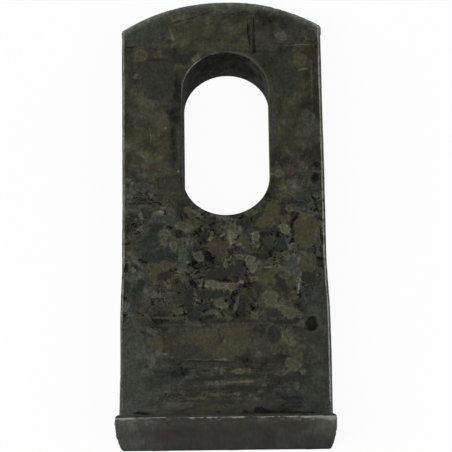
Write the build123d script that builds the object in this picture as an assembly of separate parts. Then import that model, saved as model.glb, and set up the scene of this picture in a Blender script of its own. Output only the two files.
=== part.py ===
from build123d import *
import os
from math import sqrt

# Mulcher blade: one forging from flat bar, with a slot for its pin, a rounded upper end and a foot.
# The foot's underside is ground flat and ends forward in a cutting toe. The blade lies on its back.
# Origin: axis of the slot's upper end, where the pin seats, on the back face.
# +X across the blade, +Y to the rounded end, +Z out of the front face.

# Flat bar
body_width = 60.0
thickness = 14.0
edge_round = 1.0

# Slot for the pin, punched from the front, a little to the right of the bar's middle
slot_width = 25.5
slot_length = 55.6
slot_offset = 1.0
slot_roll_over = 0.8

# Rounded upper end, and the wall that it leaves over the slot
crown_radius = 52.5
crown_wall = 18.1
crown_corner = 1.2

# Foot: how far below the pin it ends, how far its toe stands forward, and the run-out up to it
pin_to_underside = 113.4
underside_skew = 0.925
toe_rise = 8.0
toe_land = 1.0
run_out_length = 22.0

# Spread of the hammered end: what each side gains, from and to these heights over the underside
spread = 0.6
spread_from = 58.0
spread_to = 36.0

# Ends of the foot, seen from below, beyond or inside the spread sides, and how far the heel leans left
toe_overhang = 1.05
bulge_overhang = 1.35
bulge_below_toe = 7.0
heel_tuck = 0.3
heel_lean = 0.5
flare_length = 3.0

# Smooth field pressed into the front face
field_width = 35.0
field_height = 11.4
field_depth = 0.3
field_corner = 1.5
field_shift = 3.0
field_over_underside = 28.4

middle_x = -slot_offset
half_body = body_width / 2
half_spread = half_body + spread
crown_top = slot_width / 2 + crown_wall
toe_height = thickness + toe_rise
margin = thickness


def across_bar(height):
    """Upright plane across the bar at a height over the underside, turned by the underside's skew."""
    across = Vector(1, 0, 0).rotate(Axis.Z, -underside_skew)
    along = Vector(0, 1, 0).rotate(Axis.Z, -underside_skew)
    heel = Vector(middle_x, -pin_to_underside, 0)
    return Plane(origin=heel + along * height, x_dir=across, z_dir=-along)


def front_outline():
    """The blade seen from the front, run on past the underside: crown, sides and spread."""
    side_top = crown_top - crown_radius + sqrt(crown_radius**2 - half_body**2)
    bottom = -pin_to_underside - margin
    with BuildSketch(Plane((middle_x, 0, 0))) as outline:
        with BuildLine():
            ThreePointArc((-half_body, side_top), (0, crown_top), (half_body, side_top))
            for side in (-1, 1):
                straight_end = (side * half_body, spread_from - pin_to_underside)
                spread_end = (side * half_spread, spread_to - pin_to_underside)
                Line((side * half_body, side_top), straight_end)
                Spline(straight_end, spread_end, tangents=((0, -1), (0, -1)))
                Line(spread_end, (side * half_spread, bottom))
            Line((-half_spread, bottom), (half_spread, bottom))
        make_face()
        fillet(outline.vertices().group_by(Axis.Y)[-1], radius=crown_corner)
    return outline.sketch


def underside_outline():
    """The foot seen from below, widest a little behind its toe and narrowest at its heel."""
    half_heel = half_spread - heel_tuck
    half_bulge = half_spread + bulge_overhang
    half_toe = half_spread + toe_overhang
    bulge_lean = heel_lean * bulge_below_toe / toe_height
    with BuildSketch(across_bar(0)) as outline:
        with BuildLine():
            Line((-half_heel - heel_lean, 0), (half_heel - heel_lean, 0))
            Line((-half_toe, toe_height), (half_toe, toe_height))
            for side in (-1, 1):
                ThreePointArc((side * half_heel - heel_lean, 0),
                              (side * half_bulge - bulge_lean, toe_height - bulge_below_toe),
                              (side * half_toe, toe_height))
        make_face()
    return outline.sketch


def side_profile():
    """The blade seen from its side, run across its whole width and on past its crown."""
    foot = across_bar(0)
    run_out_top = toe_land + run_out_length
    length = pin_to_underside + crown_top + margin
    with BuildSketch(Plane(origin=foot.origin, x_dir=-foot.z_dir, z_dir=foot.x_dir)) as profile:
        with BuildLine():
            Polyline((run_out_top, thickness), (length, thickness), (length, 0), (0, 0),
                     (0, toe_height), (toe_land, toe_height))
            EllipticalCenterArc((run_out_top, toe_height), run_out_length, toe_rise,
                                start_angle=180, arc_size=90)
        make_face()
    return extrude(profile.sketch, amount=body_width, both=True)


def forging():
    """The forged bar before it is punched: upper bar, flared foot, and rounded long edges."""
    bar = extrude(front_outline(), amount=toe_height)
    upper = split(bar, bisect_by=across_bar(flare_length), keep=Keep.BOTTOM)
    cut_face = upper.faces().sort_by(Axis.Y)[0]
    foot = loft([cut_face, underside_outline().face()])
    blank = (upper + foot) & side_profile()
    return fillet(blank.edges().filter_by(is_long_edge), radius=edge_round)


def is_long_edge(edge):
    """True for the edges that run round the front and the back, but not round the underside."""
    middle = edge.center()
    on_side = abs(middle.X - middle_x) > half_body - crown_corner
    on_crown = middle.Y > crown_top - crown_corner
    upright = edge.geom_type == GeomType.LINE and abs(edge.tangent_at(0).Z) > abs(edge.tangent_at(0).Y)
    over_toe = -across_bar(toe_land).to_local_coords(middle).Z > 0
    return (on_side or on_crown) and over_toe and not upright


def punch_slot(blank):
    """Punches the slot, which draws its mouth in at the front and leaves its back edge square."""
    with BuildSketch(Plane((0, (slot_width - slot_length) / 2, 0))) as slot:
        SlotOverall(slot_length, slot_width, rotation=90)
    punched = blank - extrude(slot.sketch, amount=thickness)
    front = punched.faces().filter_by(Axis.Z).group_by(Axis.Z)[1][0]
    return fillet(front.inner_wires()[0].edges(), radius=slot_roll_over)


def press_field(blade):
    """Presses the shallow smooth field into the front face."""
    middle = Vector(middle_x - field_shift, field_over_underside - pin_to_underside, thickness)
    with BuildSketch(Plane(middle)) as field:
        RectangleRounded(field_width, field_height, field_corner)
    return blade - extrude(field.sketch, amount=-field_depth)


def main():
    blade = press_field(punch_slot(forging()))
    blade.label = "blade"
    export_step(blade, "parts/blade.step")


os.makedirs("parts", exist_ok=True)
main()
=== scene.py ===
import math

import bpy
import numpy as np
from mathutils import Matrix, Vector, noise


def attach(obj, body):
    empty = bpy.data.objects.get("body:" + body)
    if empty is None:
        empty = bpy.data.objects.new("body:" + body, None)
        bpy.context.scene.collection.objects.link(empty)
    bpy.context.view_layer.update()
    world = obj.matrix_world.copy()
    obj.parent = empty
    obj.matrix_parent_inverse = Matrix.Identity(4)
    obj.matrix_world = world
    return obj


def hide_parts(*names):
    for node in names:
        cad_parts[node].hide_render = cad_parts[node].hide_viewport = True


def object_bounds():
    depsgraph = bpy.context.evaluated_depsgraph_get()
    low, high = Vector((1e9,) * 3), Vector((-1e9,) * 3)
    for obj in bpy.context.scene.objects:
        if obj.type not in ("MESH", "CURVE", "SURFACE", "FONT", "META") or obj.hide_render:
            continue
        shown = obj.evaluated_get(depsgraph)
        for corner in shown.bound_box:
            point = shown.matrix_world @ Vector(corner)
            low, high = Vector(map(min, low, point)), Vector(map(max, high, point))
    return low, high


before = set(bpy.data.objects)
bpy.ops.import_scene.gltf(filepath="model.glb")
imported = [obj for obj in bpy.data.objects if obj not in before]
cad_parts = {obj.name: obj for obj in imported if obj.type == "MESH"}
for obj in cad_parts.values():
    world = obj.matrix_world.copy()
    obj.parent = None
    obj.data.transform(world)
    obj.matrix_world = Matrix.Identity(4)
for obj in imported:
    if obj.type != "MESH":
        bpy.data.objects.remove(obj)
cad_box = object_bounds()

# A mulcher blade: one forging that lies on its back, seen from above its foot.
# All sizes are in mm, in the frame's own axes: +X across, +Y to the rounded end, +Z out of the front.
MM = 0.001
FRONT = 14.0
SLOT_RADIUS = 12.75
SLOT_LOWER_Y = -30.1
UNDERSIDE_Y = -113.4
TOE_Z = 22.0
MIDDLE_X = -1.0
RUN_OUT_Y = -90.0
CROWN_RADIUS = 52.5
CROWN_Y = -21.65

# The camera of the photograph, in mm and degrees
AIM = Vector((-0.33, -46.90, 14.0))
DISTANCE = 1213.4
ELEVATION = 61.10
AZIMUTH = 2.52
ROLL = -3.73
PIXELS_PER_MM = 3.397
PICTURE_WIDTH = 452
SENSOR_WIDTH = 36.0

# Spacing of the points of the forging's skin, and the share of them that is kept in all,
# where only the back, the sides and the slot's wall are thinned out
SKIN = 0.36
KEPT = 0.52


def direction(azimuth, elevation):
    """The unit vector from the blade towards a place at these angles, azimuth 0 being the foot's side."""
    a = math.radians(azimuth)
    e = math.radians(elevation)
    return Vector((math.sin(a) * math.cos(e), -math.cos(a) * math.cos(e), math.sin(e)))


def make_camera():
    """The camera of the photograph, far off and with a long lens."""
    data = bpy.data.cameras.new("camera")
    data.sensor_width = SENSOR_WIDTH
    data.lens = PIXELS_PER_MM * DISTANCE * SENSOR_WIDTH / PICTURE_WIDTH
    data.clip_start = 0.1
    data.clip_end = 20.0
    camera = bpy.data.objects.new("camera", data)
    bpy.context.scene.collection.objects.link(camera)
    back = direction(AZIMUTH, ELEVATION)
    turn = (-back).to_track_quat("-Z", "Y").to_matrix().to_4x4()
    turn = turn @ Matrix.Rotation(math.radians(ROLL), 4, "Z")
    camera.matrix_world = Matrix.Translation((AIM + back * DISTANCE) * MM) @ turn
    bpy.context.scene.camera = camera


def linear(colour):
    """An sRGB hex colour as linear RGBA."""
    parts = [int(colour[i:i + 2], 16) / 255 for i in (1, 3, 5)]
    return [c / 12.92 if c <= 0.04045 else ((c + 0.055) / 1.055) ** 2.4 for c in parts] + [1.0]


def add(tree, kind, links=(), **settings):
    """Adds a node, makes its settings, and fills its sockets with values or with other nodes' outputs."""
    made = tree.nodes.new("ShaderNode" + kind)
    for name, value in settings.items():
        setattr(made, name, value)
    for socket, value in dict(links).items():
        if isinstance(value, bpy.types.NodeSocket):
            tree.links.new(value, made.inputs[socket])
        else:
            made.inputs[socket].default_value = value
    return made


def new_material(name):
    """An empty node material and its tree."""
    material = bpy.data.materials.new(name)
    material.use_nodes = True
    material.node_tree.nodes.clear()
    return material, material.node_tree


def make_floor():
    """A plain white floor, as bright as paper to the camera, with the blade's soft shadow on it."""
    bpy.ops.mesh.primitive_plane_add(size=6.0, location=(0, 0, 0))
    floor = bpy.context.object
    floor.name = "floor"
    material, tree = new_material("white_paper")
    rays = add(tree, "LightPath")
    seen = add(tree, "Math", {0: rays.outputs["Is Camera Ray"], 1: rays.outputs["Is Glossy Ray"]},
               operation="MAXIMUM")
    seen = add(tree, "Math", {0: seen.outputs[0], 1: rays.outputs["Is Transmission Ray"]}, operation="MAXIMUM")
    share = add(tree, "Math", {0: seen.outputs[0], 1: 0.94}, operation="MULTIPLY")
    white = add(tree, "Emission", {"Color": (1, 1, 1, 1), "Strength": 1.0})
    paper = add(tree, "BsdfDiffuse", {"Color": linear("#f2f2f2")})
    both = add(tree, "MixShader", {0: share.outputs[0], 1: paper.outputs[0], 2: white.outputs[0]})
    add(tree, "OutputMaterial", {"Surface": both.outputs[0]})
    floor.data.materials.append(material)


def make_lamp(name, azimuth, elevation, distance, size, strength, colour="#ffffff"):
    """A square soft box that faces the blade's middle. Strength is how bright its face is."""
    data = bpy.data.lights.new(name, "AREA")
    data.shape = "SQUARE"
    data.size = size
    data.energy = strength * size * size * math.pi
    data.color = linear(colour)[:3]
    lamp = bpy.data.objects.new(name, data)
    bpy.context.scene.collection.objects.link(lamp)
    back = direction(azimuth, elevation)
    turn = (-back).to_track_quat("-Z", "Y").to_matrix().to_4x4()
    lamp.matrix_world = Matrix.Translation(AIM * MM + back * distance) @ turn


def make_light():
    """A dim room, a key box over the front left, a fill, a low pale screen behind and a box at each side."""
    world = bpy.data.worlds.new("studio")
    world.use_nodes = True
    bpy.context.scene.world = world
    sky = world.node_tree.nodes["Background"]
    sky.inputs["Color"].default_value = (1, 1, 1, 1)
    sky.inputs["Strength"].default_value = 0.12
    make_lamp("key", -40, 58, 1.6, 1.0, 4.6)
    make_lamp("fill", 45, 45, 1.6, 1.0, 2.0)
    make_lamp("screen", 178, 22, 2.0, 2.2, 0.30, "#e4ecff")
    make_lamp("side_left", -112, 20, 1.6, 0.9, 2.4)
    make_lamp("side_right", 112, 20, 1.6, 0.9, 2.4)


# What each kind of mark on the scale does: how much lighter or darker it is, how warm or blue,
# how rusty, how far it stands up in mm, and how dark its outline is
TONES = {
    "tan": (0.60, 0.35, 0.0, 0.05, 0.55),
    "cream": (1.00, 0.30, 0.0, 0.07, 0.60),
    "olive": (0.30, 0.65, 0.0, 0.03, 0.25),
    "yellow": (0.40, 0.85, 0.0, 0.03, 0.15),
    "rust": (0.10, 0.30, 0.5, 0.00, 0.15),
    "soot": (-1.40, -0.30, 0.0, -0.04, 0.00),
    "slate": (0.15, -0.50, 0.0, 0.04, 0.45),
    "ash": (0.50, -0.45, 0.0, 0.05, 0.40),
    "dark": (-0.85, -0.15, 0.0, -0.06, 0.00),
    "teal": (-0.65, -0.55, 0.0, -0.04, 0.00),
    "lead": (0.05, -0.25, 0.0, 0.02, 0.00),
    "smoke": (-0.30, -0.15, 0.0, -0.02, 0.00),
    "pit": (-1.90, 0.00, 0.0, -0.28, 0.00),
    "chip": (2.40, 0.00, 0.0, 0.03, 0.00),
}

# How far from a patch's edge its dark line and the pale rim beside it are felt
LINE_REACH = 0.9

# Broad areas of the front: tone, middle x and y, half width, half height, turn in degrees, strength
AREAS = [
    ("slate", -24, 21, 9, 6, 20, 0.7), ("slate", 24, 20, 7, 6, -20, 0.6),
    ("slate", 3, 28, 9, 1.6, 0, 0.6), ("olive", -3, 20, 13, 5, 0, 0.5),
    ("yellow", 0, 15, 10, 1.8, 0, 0.55), ("olive", 14, 18, 5, 5, 0, 0.5),
    ("slate", -20, 5, 5, 7, 0, 0.35), ("slate", 18, 4, 5, 8, 0, 0.3),
    ("teal", -14.6, -13, 1.7, 12, 0, 0.5), ("slate", 14.3, -13, 1.3, 9, 0, 0.9),
    ("olive", -22, -14, 7, 7, 0, 0.35), ("olive", 20, -14, 6, 9, 0, 0.35),
    ("tan", -19, -26, 6, 4, -30, 0.6), ("olive", -17, -35, 5, 6, 0, 0.6),
    ("olive", 19, -33, 6, 5, 0, 0.3), ("olive", 13, -44, 5, 4, 40, 0.7),
    ("teal", -21, -53, 7, 5, 0, 0.6), ("slate", -27, -66, 4, 9, 0, 0.6),
    ("slate", 19, -62, 3, 6, 0, 0.6), ("olive", 13, -70, 8, 8, 0, 0.6),
    ("olive", -17, -70, 7, 7, 0, 0.3), ("slate", 26, -78, 4, 12, 0, 0.8),
    ("ash", -28, -86, 4, 9, 0, 0.7), ("olive", -4, -85, 15, 5.5, 0, 0.8),
    ("ash", -27, -101.6, 6, 9, 0, 0.7), ("slate", 27, -101.6, 5, 9, 0, 0.6),
    ("dark", 0, -98.3, 22, 4, 0, 0.4), ("olive", 0, -106.4, 20, 2.5, 0, 0.5),
    ("tan", 5, -87.5, 3.5, 2.2, 0, 0.35), ("tan", -9, -82, 4, 1.4, 0, 0.3),
    ("tan", -1, -85, 2, 1.2, 0, 0.25),
]

# Separate marks: tone, middle x and y, half length, half width, turn in degrees
MARKS = [
    ("smoke", -20.2, 4.0, 5.2, 7.2, 3), ("smoke", 18.6, 4.4, 4.6, 8.0, -8),
    ("soot", -15.6, -16.5, 0.6, 4.0, 0), ("soot", -15.2, -22.5, 0.6, 2.6, -10),
    ("lead", -14.0, -18.0, 0.7, 6.5, 0), ("soot", -14.3, -0.5, 1.0, 5.2, -2),
    ("soot", -15.3, -8.6, 2.1, 3.0, 8), ("dark", -21.0, 10.9, 3.4, 0.5, 0),
    ("dark", -12.4, 11.4, 2.4, 1.5, -20), ("yellow", -13.2, 8.4, 2.6, 0.6, -20),
    ("dark", -5.5, -44.8, 2.6, 0.8, 12), ("teal", 2.0, -43.6, 1.8, 0.8, 0),
    ("teal", 9.6, -43.9, 2.2, 1.1, 35), ("dark", -12.8, -39.4, 1.0, 2.2, -35),
    ("dark", 13.4, -36.6, 0.8, 2.2, 25), ("ash", -29.0, -42.8, 0.4, 0.5, 0),
    ("tan", -25.2, -43.0, 0.6, 1.6, 10), ("dark", -26.2, -44.0, 0.4, 1.6, 8),
    ("smoke", -19.5, -45.6, 2.8, 0.7, 0), ("tan", -25.6, -47.4, 1.1, 0.9, -20),
    ("rust", -23.8, -46.2, 0.8, 0.8, 0), ("cream", -29.8, -51.0, 0.5, 0.5, 0),
    ("olive", -11.0, -46.4, 3.2, 2.2, 0), ("olive", -11.0, -42.3, 1.4, 2.4, 20),
    ("ash", -7.2, -47.5, 0.8, 0.7, 0), ("soot", -6.4, -48.9, 0.5, 1.3, 0),
    ("cream", -4.9, -51.0, 1.0, 1.4, 20), ("dark", -8.5, -53.7, 0.9, 0.6, 0),
    ("dark", -6.6, -54.2, 0.5, 0.8, 0), ("teal", -19.5, -56.4, 5.0, 1.5, 0),
    ("ash", -27.8, -56.5, 0.5, 1.5, 15), ("ash", -26.8, -57.9, 1.2, 0.45, -40),
    ("cream", -27.5, -61.0, 0.8, 0.8, 0), ("ash", -28.5, -63.5, 1.4, 1.2, 0),
    ("ash", -25.5, -62.5, 0.6, 1.6, 10), ("dark", -26.6, -60.0, 0.5, 1.2, 30),
    ("yellow", -20.5, -59.8, 3.2, 1.4, 0), ("yellow", -21.6, -62.4, 1.4, 2.2, 0),
    ("ash", -18.5, -63.3, 0.8, 0.5, 0), ("tan", 2.0, -47.6, 2.4, 1.6, 0),
    ("soot", 5.8, -45.6, 1.5, 1.2, 0), ("smoke", 9.6, -48.6, 2.3, 0.8, 0),
    ("yellow", 11.6, -45.0, 3.6, 1.9, 42), ("olive", 17.4, -44.9, 1.4, 1.4, 0),
    ("dark", 14.3, -48.6, 0.5, 1.6, -15), ("olive", 23.2, -49.0, 3.8, 6.4, 0),
    ("slate", 26.5, -53.2, 0.6, 3.4, 0), ("smoke", 12.2, -52.4, 1.8, 2.0, 0),
    ("teal", 15.8, -52.5, 1.4, 2.3, -15), ("ash", 12.6, -58.9, 1.0, 0.8, 0),
    ("tan", 14.6, -59.0, 0.8, 0.9, 0), ("tan", 17.0, -56.6, 1.2, 1.0, 0),
    ("chip", 21.0, -58.7, 0.3, 0.5, 0), ("dark", 10.4, -57.2, 0.9, 1.4, 0),
    ("cream", 4.0, -65.4, 0.9, 0.7, 0), ("tan", 7.6, -64.8, 1.6, 0.8, 0),
    ("yellow", 12.0, -64.6, 2.6, 1.6, 0), ("olive", 23.6, -60.4, 2.8, 3.6, 0),
    ("dark", -14.9, -56.4, 0.35, 3.4, 0), ("dark", -10.9, -55.5, 0.35, 2.6, 0),
    ("pit", -28.2, 15.7, 1.4, 0.3, 0), ("dark", -16.6, 17.2, 0.8, 0.9, 0),
    ("slate", -2, 27.4, 3.2, 0.6, 0), ("olive", 3.2, 27.3, 2.4, 1.0, 0),
    ("olive", 8.5, 27.6, 1.8, 0.9, 0), ("dark", 11.3, 26.6, 1.4, 1.1, 0),
    ("dark", 8.1, 19, 0.9, 6.2, 4), ("pit", 8.8, 13.2, 0.6, 0.9, 0),
    ("yellow", -25.4, 12.5, 2.2, 2.2, 0), ("olive", -26.3, 5.2, 1.2, 1.1, 0),
    ("rust", -26.2, 1.0, 1.8, 1.8, 0), ("dark", -11.8, 9.4, 1.0, 1.2, 0),
    ("dark", -9.8, 12.8, 1.4, 0.9, -30), ("tan", -8.2, 11.4, 1.6, 0.8, 35),
    ("yellow", 22.5, 9.6, 2.2, 3.2, 0), ("dark", 13, 12.6, 3.0, 0.7, -10), ("tan", 17, 18, 1.4, 1.5, 0),
    ("dark", 17.6, 22.5, 1.0, 2.4, 25), ("chip", -18, -13, 0.3, 0.3, 0),
    ("tan", 15.3, -29.3, 1.9, 1.3, 0), ("pit", 26.6, -26.6, 0.9, 1.0, 0),
    ("pit", 26.4, -31.3, 1.2, 1.7, 0), ("ash", 26.3, -37, 0.6, 0.6, 0),
    ("slate", -25, -33, 2.4, 1.4, 0), ("chip", -22.2, -36, 0.3, 0.5, 0),
    ("pit", -21.2, -35.8, 0.6, 0.5, 0), ("pit", -24.5, -38.5, 4.2, 0.35, 0),
    ("slate", -27, -39.8, 3.0, 1.0, 0), ("rust", -26.3, -24, 1.9, 1.9, 0),
    ("rust", -22, -26.8, 1.9, 1.5, 0), ("rust", 18.5, -28.5, 2.0, 1.8, 0),
    ("slate", 24.8, -10.5, 1.8, 2.2, 0), ("ash", -8.5, -42.6, 2.2, 0.7, -35),
    ("ash", -0.8, -44.1, 1.5, 0.5, -20), ("ash", 7.5, -42.4, 1.8, 0.8, 25),
    ("dark", 5, -46, 2.2, 1.6, 0), ("dark", 11, -40.6, 1.2, 0.7, 40), ("slate", -19, -44, 4.5, 1.5, -5),
    ("slate", 24.4, -42.8, 4.4, 0.9, -15), ("dark", -20.8, -47, 2.2, 1.6, 0),
    ("tan", -18.5, -48.6, 1.6, 1.6, 0), ("tan", -13, -46.5, 2.3, 1.2, 0),
    ("olive", 13, -42.6, 2.2, 3.6, -30), ("cream", 17.2, -48.6, 1.7, 1.9, 20),
    ("tan", 18.3, -41.3, 1.2, 1.4, 0), ("teal", -22.5, -50.3, 1.9, 1.4, 0),
    ("tan", -15.9, -52.4, 1.1, 2.2, 0), ("tan", -18.6, -51, 0.8, 1.6, 0),
    ("rust", -28.6, -53.2, 2.0, 1.1, 0), ("ash", -26.2, -58.4, 0.6, 2.4, 30),
    ("yellow", -21.5, -60.5, 1.4, 2.4, 15), ("olive", -17, -59.6, 3.6, 0.9, 5),
    ("tan", -14, -61.3, 0.8, 1.2, 0), ("dark", -18.6, -63.4, 1.8, 1.5, 0),
    ("ash", -13.1, -56.8, 1.2, 5.6, 0), ("chip", -11.8, -58.7, 0.4, 0.3, 0),
    ("tan", -8.6, -57, 1.7, 2.2, 0), ("rust", -2.8, -53.2, 3.0, 2.4, 0),
    ("rust", -1.8, -56.6, 2.0, 1.3, 0), ("olive", 5, -52.4, 1.5, 2.3, 0),
    ("cream", 8.2, -50.6, 1.2, 1.5, 0), ("tan", 9, -54, 1.1, 0.7, 0),
    ("cream", 6.8, -59.4, 1.7, 2.9, 0), ("tan", 3.4, -57.6, 1.1, 0.8, 0),
    ("yellow", 7, -55.6, 2.3, 0.4, -10), ("tan", -1, -59.7, 0.5, 1.2, 0),
    ("dark", -2.1, -59.7, 0.4, 1.6, 0), ("teal", 3, -61.8, 2.4, 1.7, 0),
    ("rust", 0.9, -64, 0.9, 0.9, 0), ("dark", -3.4, -62.6, 3.8, 1.6, 0),
    ("chip", 11.7, -61, 0.9, 0.22, 0), ("ash", 18.7, -60.6, 1.5, 3.6, -15),
    ("ash", 20.8, -66.5, 0.4, 2.6, -8), ("tan", 18.9, -54.4, 1.6, 0.9, 20),
    ("cream", -3.2, -66.4, 5.2, 1.1, 0), ("tan", 1, -67.6, 1.6, 1.2, 30),
    ("dark", -5, -69.6, 4.0, 1.3, 0), ("dark", -11.5, -70.5, 1.4, 3.6, 0),
    ("tan", -2, -72.6, 1.5, 1.8, 0), ("ash", -6, -75.6, 2.6, 0.8, 10),
    ("teal", -10, -76.5, 2.2, 1.5, 0), ("ash", 2.4, -73, 0.5, 2.4, -15),
    ("dark", 4.4, -73, 1.2, 2.4, 0), ("tan", 7.6, -76.8, 1.4, 1.4, 0),
    ("dark", 12.5, -76.6, 3.2, 0.8, -8), ("tan", 12.4, -71.5, 2.2, 2.6, 0),
    ("tan", 18, -76.2, 2.8, 1.6, -30), ("dark", 15.6, -66.5, 1.1, 3.2, 15),
    ("dark", 23.8, -65, 2.3, 2.2, 0), ("pit", 24.1, -80.2, 1.8, 2.4, 0),
    ("ash", -29, -74, 0.8, 2.6, 25), ("ash", -24.6, -66.6, 0.4, 2.4, 25),
    ("dark", -25.6, -65.8, 1.2, 1.4, 0), ("olive", -19, -76.8, 6.0, 0.4, -3),
    # Painted shade: the three dark strips at y -79 stand for the shaded upper wall of the die mark's shallow recess
    ("dark", -15, -79, 7.5, 0.8, 0), ("dark", 12, -79.2, 8.0, 0.7, 0), ("dark", 0, -78.7, 6.0, 0.9, 0),
    ("smoke", -16.8, -86, 0.9, 3.4, 0), ("smoke", -12.0, -87.5, 4.0, 2.2, 0),
    ("olive", -20.7, -85.4, 1.8, 3.6, 12), ("dark", -23.6, -82.0, 1.6, 0.6, -30),
    ("tan", -19.4, -88.4, 1.9, 0.9, -10), ("dark", 13.2, -83, 1.6, 3.4, 0),
    ("tan", 17.2, -84.8, 1.0, 2.4, 25), ("rust", 12.2, -87.8, 1.9, 1.5, 0),
    ("smoke", -4, -92.4, 9.5, 0.9, -3), ("lead", -6, -92.8, 3.0, 0.5, 0),
    ("rust", 5, -94.4, 2.6, 0.5, -5), ("tan", 2.4, -95.1, 3.0, 0.6, 0),
    ("tan", 18.3, -93.2, 2.3, 1.9, 0), ("yellow", 20.6, -90.4, 1.4, 1.2, 0),
    ("pit", -17.9, -94.3, 1.7, 0.5, 0), ("pit", -23.8, -92.6, 0.7, 0.5, 0),
    ("dark", -8, -97.2, 6.0, 0.86, 0), ("dark", 17, -97.6, 5.5, 0.97, 0),
    ("dark", 2, -100.8, 11.0, 0.45, 1), ("tan", 1.5, -98.7, 6.0, 0.54, 2),
    ("yellow", -3, -102.9, 3.0, 0.7, 0), ("tan", 2.2, -102.9, 0.8, 0.58, 0),
    ("dark", -1.4, -105.8, 2.4, 0.87, 0), ("dark", -11, -105.1, 3.0, 0.61, 0),
    ("rust", 4.5, -107.2, 2.8, 0.66, 0), ("dark", -9.6, -92.3, 0.6, 0.5, 0),
    ("pit", -6.6, -94.3, 0.8, 0.2, 0), ("dark", 11.4, -95, 0.7, 0.6, 0),
    ("ash", 6.2, -103.5, 0.7, 0.59, 0), ("ash", 8.6, -102.5, 0.6, 0.81, 0),
    ("tan", 7.6, -105.1, 0.7, 0.61, 0), ("dark", 7.2, -102.3, 0.5, 0.92, 0),
    ("ash", 10.0, -99.8, 0.6, 0.55, 0), ("dark", 9.8, -103.9, 1.0, 0.83, 0),
    ("ash", 17.0, -102.3, 0.8, 0.57, 20), ("ash", 19.4, -101.2, 0.6, 0.79, 0),
    ("smoke", 18.4, -103, 2.0, 0.93, 0), ("smoke", 15.4, -100.9, 1.4, 0.9, 0),
    ("tan", 21.5, -95.6, 0.8, 0.8, 0), ("smoke", -17.0, -97.2, 4.5, 0.96, 5),
    ("slate", -11.6, -96.6, 1.4, 0.5, 0), ("teal", -19.0, -94.1, 2.4, 0.7, 0),
    ("lead", 8.6, -83.2, 1.1, 0.8, 0), ("lead", -4.6, -86.6, 0.9, 0.7, 30),
    ("pit", -24.6, -109.9, 2.6, 0.8, -3), ("pit", -2.9, -109.9, 1.0, 0.75, 0),
    ("pit", 4.6, -110.2, 0.7, 0.65, 0), ("pit", 9.6, -109.7, 2.6, 1.3, -4),
    ("pit", 12.4, -110.3, 1.5, 0.7, -8), ("pit", 18.0, -110.7, 4.2, 0.7, -3),
    ("pit", 24.0, -110.9, 1.6, 0.5, 0),
]


# Crisp scratch marks, and a painted highlight along the die mark's lower edge: middle x and y, half length,
# half width, turn, how much lighter, and for a mark that is only an outline, the width of that outline as a share of
# its size
SCRATCHES_AND_EDGE_HIGHLIGHTS = [
    (26.0, 2.0, 12.0, 0.16, 90, 0.8, 0), (28.2, 0.0, 15.0, 0.20, 91, 1.1, 0),
    (27.1, 1.0, 12.0, 0.7, 90, -0.35, 0), (21.5, 14.8, 5.6, 0.15, 0, 1.3, 0),
    (18.4, 14.4, 2.2, 0.13, 50, 1.0, 0), (24.6, 17.0, 1.5, 0.13, 60, 0.9, 0),
    (-16.2, 20.5, 2.8, 0.24, -72, 0.8, 0), (-13.9, 24.0, 2.4, 0.26, 18, -1.0, 0),
    (-9.6, 25.4, 2.6, 0.26, 19, -1.0, 0), (-5.3, 27.0, 2.3, 0.26, 23, -1.0, 0),
    (5.0, 26.8, 3.2, 0.26, 6, -1.0, 0), (7.3, 18.6, 6.6, 0.22, 94, -1.3, 0),
    (9.0, 18.6, 6.4, 0.20, 91, -1.2, 0), (8.1, 18.8, 6.0, 0.20, 92, 0.8, 0),
    (26.0, 18.5, 1.9, 1.9, 0, 0.6, 0.13), (22.5, 9.5, 3.0, 4.0, 0, 0.3, 0.07),
    (23.5, 6.2, 1.6, 0.25, 10, 1.2, 0), (-25.4, 12.5, 1.7, 1.8, 0, 0.35, 0.15),
    (-26.3, 5.2, 0.9, 0.8, 0, 0.8, 0.3), (-25.4, -11.0, 1.6, 2.4, 0, 0.35, 0.12),
    (-22.3, -16.0, 1.3, 0.13, 90, 1.4, 0), (-23.5, -20.5, 1.9, 0.24, 42, 0.45, 0),
    (-22.4, -21.4, 2.2, 0.24, 44, 0.45, 0), (-21.2, -22.2, 2.2, 0.24, 46, 0.45, 0),
    (-20.0, -23.4, 2.0, 0.24, 44, 0.45, 0), (-24.6, -22.6, 1.6, 0.24, 130, 0.45, 0),
    (-19.6, -20.6, 1.6, 0.24, 125, 0.45, 0), (21.2, -20.8, 1.6, 0.24, 62, 0.45, 0),
    (22.4, -22.6, 2.2, 0.24, 60, 0.45, 0), (23.6, -24.6, 2.4, 0.24, 60, 0.45, 0),
    (24.6, -27.0, 2.0, 0.24, 62, 0.45, 0), (-14.2, -28.0, 0.3, 0.5, 0, 1.8, 0),
    (-28.4, -66.5, 1.8, 0.28, 80, 0.7, 0), (-29.0, -72.0, 2.6, 0.26, 70, 0.7, 0),
    (-2.7, -82.6, 2.4, 0.12, 108, -1.2, 0), (-1.6, -83.4, 2.0, 0.12, 66, -1.0, 0),
    # Painted highlight: the lighter line at y -90.9 stands for the lit lower wall of the die mark's recess, with a
    # dark line under it
    (-6.5, -90.9, 6.5, 0.22, -3, 0.6, 0), (-4.0, -91.6, 9.0, 0.30, -4, -0.7, 0),
    (2.0, -99.6, 4.0, 0.22, -3, 0.5, 0), (-9.0, -99.7, 3.2, 0.20, 2, 0.4, 0),
    (20.9, -66.5, 3.6, 0.24, 82, 1.0, 0), (22.3, -71.0, 2.2, 0.22, 100, 0.8, 0),
    (-9.6, -72.0, 2.4, 0.22, 75, 0.8, 0),
]


def fractal(points, lump, octaves=3, seed=0):
    """Smooth random heights from about -1 to 1 at each point, with lumps of this size in mm."""
    places = points / np.asarray(lump, float) + 31.7 * seed
    return np.array([noise.fractal(p, 1.0, 2.0, octaves) for p in places.tolist()])


def ramp(values, start, end):
    """0 below start, 1 above end, and smooth between."""
    t = np.clip((values - start) / (end - start), 0, 1)
    return t * t * (3 - 2 * t)


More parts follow.
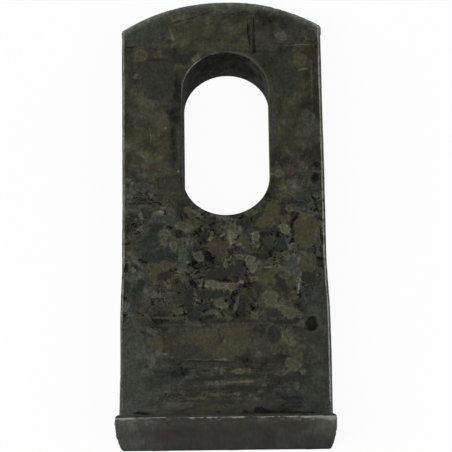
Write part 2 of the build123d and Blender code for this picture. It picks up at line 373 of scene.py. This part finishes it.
def patches(points, size, seed):
    """Random patches of about this size: a number from 0 to 1 for each one, and the distance to its edge."""
    places = points / size + 13.3 * seed
    number = np.empty(len(points))
    edge = np.empty(len(points))
    for i, place in enumerate(places.tolist()):
        distances, centres = noise.voronoi(place)
        number[i] = math.sin(centres[0].x * 12.99 + centres[0].y * 78.23 + centres[0].z * 37.72) * 0.5 + 0.5
        edge[i] = (distances[1] - distances[0]) * size
    return number, edge


def shaped_copy(body, name):
    """The body's mesh with its modifiers applied. The body itself is removed."""
    bpy.context.view_layer.update()
    mesh = bpy.data.meshes.new_from_object(body.evaluated_get(bpy.context.evaluated_depsgraph_get()))
    mesh.name = name
    bpy.data.objects.remove(body)
    return mesh


def new_body(name, mesh):
    """An object with this mesh, in the scene."""
    body = bpy.data.objects.new(name, mesh)
    bpy.context.scene.collection.objects.link(body)
    return body


def fine_skin(solid):
    """The forging's own surface, cut into squares small enough to carry its scale and pits."""
    blank = new_body("blank", solid.data.copy())
    weld = blank.modifiers.new("weld", "WELD")
    weld.merge_threshold = 0.001 * MM
    cut = blank.modifiers.new("cut", "REMESH")
    cut.mode = "VOXEL"
    cut.voxel_size = SKIN * MM
    wrap = blank.modifiers.new("wrap", "SHRINKWRAP")
    wrap.target = solid
    wrap.wrap_method = "NEAREST_SURFACEPOINT"
    fine = new_body("fine", shaped_copy(blank, "fine"))
    points, normals = read_points(fine.data)
    front = (normals[:, 2] > 0.2) & (points[:, 2] > FRONT - 1.0)
    ground = (normals[:, 1] < -0.6) & (points[:, 1] < UNDERSIDE_Y + 1.2)
    plain = fine.vertex_groups.new(name="plain")
    plain.add(np.nonzero(~front & ~ground)[0].tolist(), 1.0, "REPLACE")
    thin = fine.modifiers.new("thin", "DECIMATE")
    thin.ratio = KEPT
    thin.vertex_group = plain.name
    mesh = shaped_copy(fine, "forged_blade")
    mesh.materials.clear()
    return mesh


def read_points(mesh):
    """The mesh's points in mm, and the direction that the surface faces at each one."""
    points = np.empty(len(mesh.vertices) * 3, np.float32)
    normals = np.empty(len(mesh.vertices) * 3, np.float32)
    mesh.vertices.foreach_get("co", points)
    mesh.vertices.foreach_get("normal", normals)
    return points.reshape(-1, 3).astype(float) / MM, normals.reshape(-1, 3).astype(float)


class Skin:
    """What the forge left on each point of the surface: its tones, its height in mm and its lines."""

    def __init__(self, points, normals):
        self.points = points
        self.normals = normals
        count = len(points)
        self.light = np.zeros(count)
        self.warm = np.zeros(count)
        self.rust = np.zeros(count)
        self.height = np.zeros(count)
        self.line = np.zeros(count)
        self.busy = np.zeros(count)
        x, y, z = points.T
        in_slot_y = y - np.clip(y, SLOT_LOWER_Y, 0)
        upright = np.abs(normals[:, 2]) < 0.7
        self.slot_distance = np.hypot(x, in_slot_y) - SLOT_RADIUS
        self.is_slot = upright & (self.slot_distance < 1.0) & (z < FRONT)
        self.is_ground = (normals[:, 1] < -0.6) & (y < UNDERSIDE_Y + 1.2)
        self.is_front = (normals[:, 2] > 0.3) & (z > FRONT - 1.5)

    def paint(self, cover, tone, strength=1.0):
        """Turns the covered points towards a tone."""
        light, warm, rust, height, _ = TONES[tone]
        part = np.clip(cover, 0, 1) * strength
        self.light += (light - self.light) * part
        self.warm += (warm - self.warm) * part
        self.rust += (rust - self.rust) * part
        self.height += height * part
        self.busy *= 1 - 0.7 * part
        self.line *= 1 - 0.8 * part

    def outline(self, distance, strength):
        """Draws the edge of a patch, where the distance to it in mm is near 0."""
        self.line = np.maximum(self.line, strength * np.clip(1 - distance / LINE_REACH, 0, 1))


def spread_from(skin, x, y, half_length, half_width, turn):
    """How far out each point is in an oval: 0 in its middle and 1 at its edge."""
    a = math.radians(turn)
    across = skin.points[:, 0] - x
    along = skin.points[:, 1] - y
    u = (across * math.cos(a) + along * math.sin(a)) / half_length
    v = (along * math.cos(a) - across * math.sin(a)) / half_width
    return np.hypot(u, v)


def mottle(skin):
    """Random patches of scale, large and busy below the slot, faint beside it and drawn out above the foot."""
    x, y, z = skin.points.T
    busy = 0.25 + 0.75 * ramp(y, -84, -76) * ramp(-y, 18, 44)
    busy += 0.20 * ramp(y, 8, 14) + 0.45 * ramp(-y, 88, 94) * ramp(y, -110, -107)
    busy *= 1 - 0.8 * ramp(np.abs(x - MIDDLE_X), 18, 26) * ramp(-y, 84, 96)
    busy += 0.15 * ramp(-y, 78, 82) * ramp(y, -92, -90)
    low_sides = ramp(np.abs(x - MIDDLE_X), 17, 27) * ramp(-y, 78, 94)
    skin.busy = np.where(skin.is_front, busy, 0.5)
    drawn = skin.points.copy()
    drawn[:, 0] = x / np.where(y < RUN_OUT_Y, 3.0, 1.0)
    bend = np.stack([fractal(drawn, 3.0, 4, s) for s in (1, 2, 3)], axis=1)
    for size, amount, seed in ((5.0, 0.75, 4), (2.4, 0.65, 5)):
        number, edge = patches(drawn + bend * 0.6 * size, size, seed)
        soft = ramp(edge, 0.0, 0.25 * size)
        skin.light += skin.busy * amount * (2 * number - 1) * (0.4 + 0.6 * soft)
        skin.warm += skin.busy * amount * 0.45 * np.cos(number * 40)
        skin.height += skin.busy * 0.08 * (number - 0.5) * soft
        skin.outline(edge, skin.busy * np.clip(1.6 * np.sin(number * 90), 0, 1))
    skin.light += 0.95 * fractal(skin.points, 4.0, 4, 6) + 0.80 * fractal(skin.points, 12.0, 2, 15)
    skin.light -= 0.22 * skin.busy
    skin.warm += 0.42 - 0.50 * skin.busy - 0.25 * ramp(-y, 93, 98) + 0.35 * fractal(skin.points, 14.0, 2, 7)
    # Painted light: lighter on the left above y -20 and darker on the right, as if lit from the left; also darker
    # above y 14
    skin.light += 0.20 * ramp(-x, 14, 20) * ramp(y, -30, -20) - 0.20 * ramp(y, 8, 14) - 0.28 * ramp(x, 8, 16)
    # Painted light: the low sides beside the foot are painted lighter on the left, as if lit from there, and greyer
    # on both sides, a painted sheen where the surface turns
    skin.light += 0.38 * low_sides * (x < 0)
    skin.warm -= 0.35 * low_sides
    skin.rust += 0.25 * ramp(fractal(skin.points, 7.0, 3, 8), 0.1, 0.6) * (1 - low_sides)
    around = ramp(-skin.slot_distance, -2.4, -1.0) * ramp(-y, 34, 40) * skin.is_front
    skin.paint(around * (0.6 + fractal(skin.points, 3.0, 3, 25)), "slate", 0.8)


def paint_marks(skin):
    """The areas and marks of the front, put where the forging has them."""
    wobble = 0.9 * fractal(skin.points, 2.4, 3, 9)
    wide_wobble = 0.5 * fractal(skin.points, 5.0, 3, 10)
    front = skin.is_front.astype(float)
    for tone, x, y, half_length, half_width, turn, strength in AREAS:
        out = spread_from(skin, x, y, half_length, half_width, turn) + wide_wobble
        skin.paint(front * (1 - ramp(out, 0.6, 1.3)), tone, strength)
    for tone, x, y, half_length, half_width, turn in MARKS:
        narrow = min(half_length, half_width)
        out = spread_from(skin, x, y, half_length, half_width, turn) - 1
        distance = out * narrow + wobble * min(1, narrow / 1.1)
        skin.paint(front * (1 - ramp(distance, -0.25, 0.25)), tone)
        skin.outline(np.abs(distance), front * TONES[tone][4])


def round_crown(skin):
    """The crown's front edge, hammered softer than the others: it rolls off, and a lighter blue-grey band along it
    is a painted reflection of the sky.
    """
    x, y, z = skin.points.T
    inside = CROWN_RADIUS - np.hypot(x - MIDDLE_X, y - CROWN_Y)
    crown_sheen = skin.is_front * (y > 10) * np.clip(1 - inside / 3.2, 0, 1)
    # Painted reflection: the outer 3.2 mm of the crown is painted lighter and blue-grey
    skin.light += (1.7 + 0.7 * fractal(skin.points, 3.0, 3, 16) - skin.light) * ramp(crown_sheen, 0.0, 0.9)
    skin.warm += (-0.6 - skin.warm) * ramp(crown_sheen, 0.0, 0.6)
    skin.height += 0.15 * (1 + ramp(x, -5, 15)) * (y > 10) * ramp(-inside, -1.0, -0.4) * (z > 9)


def tone_foot(skin):
    """The ground underside: grey and bright at its ends and its toe, stained and darker in the middle."""
    x, y, z = skin.points.T
    ends = 1.25 * ramp(-x, 14, 31) + 1.5 * ramp(x, 14, 29) * ramp(z, 2, 18)
    # Darker along the lowest 2 mm, where the underside meets the floor: painted shade
    tone = ends - 0.55 + 0.4 * ramp(z, 12, 21) - 0.7 * ramp(-z, -2.2, -0.4)
    tone += 0.5 * fractal(skin.points, (3.0, 3.0, 7.0), 3, 17) + 0.4 * fractal(skin.points, 6.0, 3, 18)
    tone += 1.1 * ramp(fractal(skin.points, (2.0, 2.0, 1.6), 3, 26), 0.18, 0.3) * ramp(z, 16, 21)
    skin.light = np.where(skin.is_ground, tone, skin.light)
    tint = 0.7 * fractal(skin.points, (5.0, 5.0, 9.0), 3, 19) + 0.25 - 0.6 * ramp(np.abs(x), 16, 26)
    skin.warm = np.where(skin.is_ground, tint, skin.warm)
    brown = ramp(fractal(skin.points, 7.0, 3, 20), 0.0, 0.5) * ramp(-np.abs(x + 6), -22, -14)
    skin.rust = np.where(skin.is_ground, 0.8 * brown, skin.rust)


def tone_slot(skin):
    """The slot's wall: black and torn in the middle of its upper end, smooth grey lower down and beside it."""
    x, y, z = skin.points.T
    ragged = fractal(skin.points, 3.0, 4, 23)
    smooth = np.maximum(ramp(5.5 - z + 4 * ragged, 0, 4), ramp(np.abs(x) + 5 * ragged, 7, 10))
    tone = smooth * (0.75 + 0.5 * ramp(x, 0, 10)) + (1 - smooth) * 1.1 * fractal(skin.points, 1.2, 3, 24)
    skin.light = np.where(skin.is_slot, tone, skin.light)
    skin.warm = np.where(skin.is_slot, 0.5 * ragged - 0.1, skin.warm)


def worn_and_highlit_edges(skin):
    """Bare metal along both long edges, the slot's mouth and the toe: partly scale worn off by handling, partly a
    painted highlight where these roundings catch the light.
    """
    x, y, z = skin.points.T
    tilt = np.degrees(np.arccos(np.clip(skin.normals[:, 2], -1, 1)))
    front = z > FRONT - 1.5
    side = front & (np.abs(skin.normals[:, 0]) > 0.15) & (np.abs(x - MIDDLE_X) > 27)
    # Painted highlight as well as wear: the long edges and the slot's mouth are picked by the tilt of their
    # rounding, where it mirrors the lamps
    left = side * (x < 0) * np.clip(0.95 - 0.3 * ramp(-y, 75, 95) - np.abs(tilt - 27) / 23, 0, 1)
    right = side * (x > 0) * np.clip(1.3 - np.abs(tilt - 23) / 13, 0, 1)
    mouth = front & (np.abs(skin.slot_distance) < 1.2)
    mouth = mouth * np.clip(1.1 - np.abs(tilt - 50) / 17, 0, 1) * ramp(-x, 5, 9) * (0.4 + 0.6 * ramp(y, -5, 1))
    reach = 0.8 + 1.6 * fractal(skin.points, (2.0, 2.0, 9.0), 3, 21) + 3.4 * ramp(x, 20, 29) + ramp(-x, 24, 30)
    reach -= 0.9 * ramp(x, -25, -23) * ramp(-x, 11, 13)
    toe = skin.is_ground * np.clip(1.1 - (TOE_Z - z) / np.maximum(reach, 0.35), 0, 1)
    skin.rim = np.maximum.reduce([left, right, mouth, toe])
    # Painted shade: the groove behind the burr that grinding has thrown up at the toe is painted dark
    groove_shade = ~skin.is_ground & (z > TOE_Z - 0.3)
    skin.light = np.where(groove_shade, -0.2, skin.light)
    burr = ramp(z, TOE_Z - 0.8, TOE_Z) * (y < UNDERSIDE_Y + 1.6)
    skin.height -= 0.3 * burr * (0.5 + fractal(skin.points, (1.6, 9.0, 9.0), 3, 22))


def forge_relief(skin):
    """The uneven skin itself: long hammer waves, wrinkles above the foot, and fine grain."""
    x, y, z = skin.points.T
    skin.height += 0.12 * fractal(skin.points, 22.0, 2, 11)
    skin.height += 0.03 * fractal(skin.points, 1.6, 2, 12)
    folds = ramp(-y, 88, 95) * ramp(y, -112, -108) * skin.is_front
    skin.height += 0.16 * folds * fractal(skin.points, (14.0, 2.4, 2.4), 3, 13)


def cut_box(points, box):
    """Keeps the points inside the solid's own box."""
    low, high = (np.array(corner) / MM for corner in box)
    return np.clip(points, low, high)


def store(mesh, name, values):
    """Keeps one number for each point of the mesh, for its material to read."""
    mesh.attributes.new(name, "FLOAT", "POINT").data.foreach_set("value", values.astype(np.float32))


def make_blade(solid):
    """The forged blade: the solid's skin with its relief, marks and finishes."""
    mesh = fine_skin(solid)
    points, normals = read_points(mesh)
    skin = Skin(points, normals)
    mottle(skin)
    paint_marks(skin)
    forge_relief(skin)
    round_crown(skin)
    tone_foot(skin)
    tone_slot(skin)
    worn_and_highlit_edges(skin)
    quiet = np.where(skin.is_ground | skin.is_slot, 0.25, 1.0)
    moved = cut_box(points + normals * (skin.height * quiet)[:, None], cad_box)
    mesh.vertices.foreach_set("co", (moved * MM).astype(np.float32).ravel())
    for name, values in (("light", skin.light), ("warm", skin.warm), ("rust", skin.rust),
                         ("line", skin.line), ("busy", skin.busy), ("rim", skin.rim)):
        store(mesh, name, values)
    for finish in (scaled_steel(), punched_steel(), ground_steel()):
        mesh.materials.append(finish)
    kind = np.where(skin.is_slot, 1, np.where(skin.is_ground, 2, 0))
    for face in mesh.polygons:
        face.use_smooth = True
        face.material_index = int(min(kind[v] for v in face.vertices))
    piece = new_body("forged_blade", mesh)
    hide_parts("blade")
    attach(piece, "root")


def in_mm(tree):
    """The place on the blade, in mm."""
    place = add(tree, "TexCoord")
    return add(tree, "VectorMath", {0: place.outputs["Object"], "Scale": 1 / MM}, operation="SCALE").outputs[0]


def stops(ramp_node, pairs):
    """Sets a colour ramp's stops, each a position and a grey or a hex colour."""
    elements = ramp_node.color_ramp.elements
    while len(elements) < len(pairs):
        elements.new(1.0)
    for element, (position, tone) in zip(elements, pairs):
        element.position = position
        element.color = linear(tone) if isinstance(tone, str) else (tone, tone, tone, 1)
    return ramp_node.outputs[0]


def read(tree, name):
    """What the mesh keeps under this name."""
    return add(tree, "Attribute", attribute_name=name).outputs["Fac"]


def lines_of_scale(tree, place):
    """Thin dark cracks with a pale rim beside them, round the patches and winding between them."""
    shake = add(tree, "TexNoise", {"Vector": place, "Scale": 1 / 0.6, "Detail": 3.0, "Roughness": 0.6})
    edge = add(tree, "MapRange", {"Value": shake.outputs["Fac"], "To Min": -0.15, "To Max": 0.15}).outputs[0]
    edge = add(tree, "Math", {0: read(tree, "line"), 1: edge}, operation="ADD").outputs[0]
    edge = stops(add(tree, "ValToRGB", {"Fac": edge}), [(0.25, 0.5), (0.42, 0.7), (0.52, 0.5), (0.64, 0.1)])
    # Flow marks of about 5 mm, which fade out where the scale is smooth
    flow = add(tree, "TexNoise", {"Vector": place, "Scale": 1 / 5.2, "Detail": 1.5, "Roughness": 0.5,
                                  "Distortion": 0.6}).outputs["Fac"]
    flow = stops(add(tree, "ValToRGB", {"Fac": flow}), [
        (0.25, 0.57), (0.34, 0.35), (0.38, 0.66), (0.42, 0.5), (0.46, 0.25), (0.50, 0.62),
        (0.54, 0.5), (0.58, 0.62), (0.605, 0.25), (0.65, 0.6), (0.68, 0.3), (0.72, 0.62)])
    flow = add(tree, "Math", {0: flow, 1: 0.5}, operation="SUBTRACT").outputs[0]
    flow = add(tree, "Math", {0: flow, 1: read(tree, "busy")}, operation="MULTIPLY").outputs[0]
    return add(tree, "Math", {0: edge, 1: flow}, operation="ADD").outputs[0]


def scratches_and_edge_highlights(tree, place):
    """Thin crisp scratch marks and ring marks, and a painted highlight line, each a narrow oval or the outline of
    one, drawn a little unsteady.
    """
    sway = add(tree, "TexNoise", {"Vector": place, "Scale": 1 / 2.0, "Detail": 2.0}).outputs["Color"]
    sway = add(tree, "VectorMath", {0: sway, 1: (0.8, 0.8, 0.0), 2: (-0.4, -0.4, 0.0)}, operation="MULTIPLY_ADD")
    shaken = add(tree, "VectorMath", {0: place, 1: sway.outputs[0]}, operation="ADD").outputs[0]
    drawn = 0.0
    for x, y, half_length, half_width, turn, light, rim in SCRATCHES_AND_EDGE_HIGHLIGHTS:
        own = add(tree, "Mapping", {"Vector": shaken, "Location": (x, y, 0), "Scale": (half_length, half_width, 1e6),
                                    "Rotation": (0, 0, math.radians(turn))}, vector_type="TEXTURE").outputs[0]
        out = add(tree, "VectorMath", {0: own}, operation="LENGTH").outputs["Value"]
        if rim:
            inside = add(tree, "Math", {0: out, 1: 1.0, 2: rim}, operation="COMPARE").outputs[0]
        else:
            inside = add(tree, "Math", {0: out, 1: 1.0}, operation="LESS_THAN").outputs[0]
        drawn = add(tree, "Math", {0: inside, 1: light, 2: drawn}, operation="MULTIPLY_ADD").outputs[0]
    return drawn


def scale_hue(tree, place, cool, warm, brown):
    """The hue of the scale or stain: cool, warm or brown, by what the mesh keeps and a 1.7 mm noise."""
    tint = add(tree, "TexNoise", {"Vector": place, "Scale": 1 / 1.7, "Detail": 3.0, "Roughness": 0.6})
    warmth = add(tree, "MapRange", {"Value": read(tree, "warm"), "From Min": -0.9, "From Max": 0.9}).outputs[0]
    warmth = add(tree, "Math", {0: warmth, 1: tint.outputs["Fac"]}, operation="ADD").outputs[0]
    warmth = add(tree, "Math", {0: warmth, 1: 0.5}, operation="SUBTRACT", use_clamp=True).outputs[0]
    hue = add(tree, "Mix", {"Factor": warmth, "A": linear(cool), "B": linear(warm)}, data_type="RGBA")
    hue = add(tree, "Mix", {"Factor": read(tree, "rust"), "A": hue.outputs["Result"], "B": linear(brown)},
              data_type="RGBA")
    return hue.outputs["Result"]


def bare_metal_and_highlight(tree, place, colour):
    """Bare metal where the mesh marks an edge as worn or catching the light, partly wear and partly a painted
    highlight, broken up along it.
    """
    breaks = add(tree, "TexNoise", {"Vector": place, "Scale": 1 / 2.5, "Detail": 5.0, "Roughness": 0.7})
    worn = add(tree, "MapRange", {"Value": breaks.outputs["Fac"], "To Min": -0.6, "To Max": 0.6}).outputs[0]
    worn = add(tree, "Math", {0: read(tree, "rim"), 1: worn}, operation="ADD").outputs[0]
    worn = add(tree, "MapRange", {"Value": worn, "From Min": 0.35, "From Max": 0.85}).outputs[0]
    mixed = add(tree, "Mix", {"Factor": worn, "A": colour, "B": linear("#8e8e88")}, data_type="RGBA")
    return mixed.outputs["Result"]


def scaled_steel():
    """Forge scale with oil in it: near-black olive and blue-grey, in patches, with a dull shine."""
    material, tree = new_material("oily_forge_scale")
    place = in_mm(tree)
    # Grain of the scale, 0.8 mm
    grain = add(tree, "TexNoise", {"Vector": place, "Scale": 1 / 0.8, "Detail": 4.0, "Roughness": 0.6})
    grain = grain.outputs["Fac"]
    hue = scale_hue(tree, place, "#2d312f", "#37351f", "#392f25")
    fleck = add(tree, "MapRange", {"Value": grain, "From Min": 0.25, "From Max": 0.75, "To Min": -0.6,
                                   "To Max": 0.6}, clamp=False).outputs[0]
    calm = add(tree, "MapRange", {"Value": read(tree, "busy"), "To Min": 1.0, "To Max": 0.55}).outputs[0]
    fleck = add(tree, "Math", {0: fleck, 1: calm}, operation="MULTIPLY").outputs[0]
    level = add(tree, "Math", {0: read(tree, "light"), 1: fleck}, operation="ADD").outputs[0]
    # Rolling and handling marks along the bar, 0.6 mm apart, seen where the scale is smooth
    long_place = add(tree, "VectorMath", {0: place, 1: (1.0, 0.3, 1.0)}, operation="MULTIPLY").outputs[0]
    drawn = add(tree, "TexNoise", {"Vector": long_place, "Scale": 1 / 0.6, "Detail": 3.0, "Roughness": 0.6})
    drawn = add(tree, "MapRange", {"Value": drawn.outputs["Fac"], "From Min": 0.25, "From Max": 0.75,
                                   "To Min": -0.45, "To Max": 0.45}, clamp=False).outputs[0]
    drawn = add(tree, "Math", {0: drawn, 1: calm}, operation="MULTIPLY").outputs[0]
    level = add(tree, "Math", {0: level, 1: drawn}, operation="ADD").outputs[0]
    lines = lines_of_scale(tree, place)
    edging = add(tree, "MapRange", {"Value": lines, "To Min": -1.8, "To Max": 1.8}, clamp=False).outputs[0]
    level = add(tree, "Math", {0: level, 1: edging}, operation="ADD").outputs[0]
    level = add(tree, "Math", {0: level, 1: scratches_and_edge_highlights(tree, place)}, operation="ADD").outputs[0]
    # Pits and soot hardly shine
    shine = add(tree, "MapRange", {"Value": level, "From Min": -2.2, "From Max": -1.1, "To Min": 0.05,
                                   "To Max": 0.3}).outputs[0]
    # The lighter the scale, the greyer
    bare = add(tree, "MapRange", {"Value": level, "From Min": 0.1, "From Max": 1.6, "To Max": 0.4}).outputs[0]
    hue = add(tree, "Mix", {"Factor": bare, "A": hue, "B": linear("#32322f")}, data_type="RGBA").outputs["Result"]
    level = add(tree, "Math", {0: 2.2, 1: level}, operation="POWER").outputs[0]
    colour = add(tree, "VectorMath", {0: hue, "Scale": level}, operation="SCALE").outputs[0]
    colour = bare_metal_and_highlight(tree, place, colour)
    gloss = add(tree, "MapRange", {"Value": grain, "To Min": 0.38, "To Max": 0.62}).outputs[0]
    relief = add(tree, "Math", {0: grain, 1: lines}, operation="ADD").outputs[0]
    bump = add(tree, "Bump", {"Height": relief, "Strength": 0.5, "Distance": 0.05 * MM}).outputs[0]
    shader = add(tree, "BsdfPrincipled", {"Base Color": colour, "Roughness": gloss,
                                          "Specular IOR Level": shine, "Normal": bump})
    add(tree, "OutputMaterial", {"Surface": shader.outputs[0]})
    return material


def punched_steel():
    """The slot's wall: sheared by the punch, dark and torn near the front, smoother at the back."""
    material, tree = new_material("punched_steel")
    place = in_mm(tree)
    hue = scale_hue(tree, place, "#222423", "#262520", "#2a231d")
    # Tears of about 1.4 mm, left where the punch sheared the hot bar
    tear = add(tree, "TexNoise", {"Vector": place, "Scale": 1 / 1.4, "Detail": 5.0, "Roughness": 0.65})
    tear = tear.outputs["Fac"]
    fleck = add(tree, "MapRange", {"Value": tear, "From Min": 0.25, "From Max": 0.75, "To Min": -0.35,
                                   "To Max": 0.35}, clamp=False).outputs[0]
    level = add(tree, "Math", {0: read(tree, "light"), 1: fleck}, operation="ADD").outputs[0]
    level = add(tree, "Math", {0: 2.2, 1: level}, operation="POWER").outputs[0]
    tone = add(tree, "VectorMath", {0: hue, "Scale": level}, operation="SCALE")
    bump = add(tree, "Bump", {"Height": tear, "Strength": 0.5, "Distance": 0.15 * MM}).outputs[0]
    shader = add(tree, "BsdfPrincipled", {"Base Color": tone.outputs[0], "Roughness": 0.8,
                                          "Specular IOR Level": 0.03, "Normal": bump})
    add(tree, "OutputMaterial", {"Surface": shader.outputs[0]})
    return material


def ground_steel():
    """The foot's underside: ground across its edge, so fine streaks run from toe to heel."""
    material, tree = new_material("ground_steel")
    place = in_mm(tree)
    hue = scale_hue(tree, place, "#2b2d2b", "#302e22", "#332a22")
    long_place = add(tree, "VectorMath", {0: place, 1: (1.0, 1.0, 0.12)}, operation="MULTIPLY").outputs[0]
    # Grinding streaks, 0.5 mm wide
    streak = add(tree, "TexNoise", {"Vector": long_place, "Scale": 1 / 0.5, "Detail": 4.0, "Roughness": 0.6})
    streak = streak.outputs["Fac"]
    fleck = add(tree, "MapRange", {"Value": streak, "From Min": 0.25, "From Max": 0.75, "To Min": -0.6,
                                   "To Max": 0.6}, clamp=False).outputs[0]
    level = add(tree, "Math", {0: read(tree, "light"), 1: fleck}, operation="ADD").outputs[0]
    level = add(tree, "Math", {0: 2.2, 1: level}, operation="POWER").outputs[0]
    colour = add(tree, "VectorMath", {0: hue, "Scale": level}, operation="SCALE").outputs[0]
    colour = bare_metal_and_highlight(tree, place, colour)
    bump = add(tree, "Bump", {"Height": streak, "Strength": 0.4, "Distance": 0.03 * MM}).outputs[0]
    shader = add(tree, "BsdfPrincipled", {"Base Color": colour, "Roughness": 0.6,
                                          "Specular IOR Level": 0.1, "Normal": bump})
    add(tree, "OutputMaterial", {"Surface": shader.outputs[0]})
    return material


bpy.context.scene.view_settings.view_transform = "Standard"
make_camera()
make_floor()
make_light()
make_blade(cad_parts["blade"])
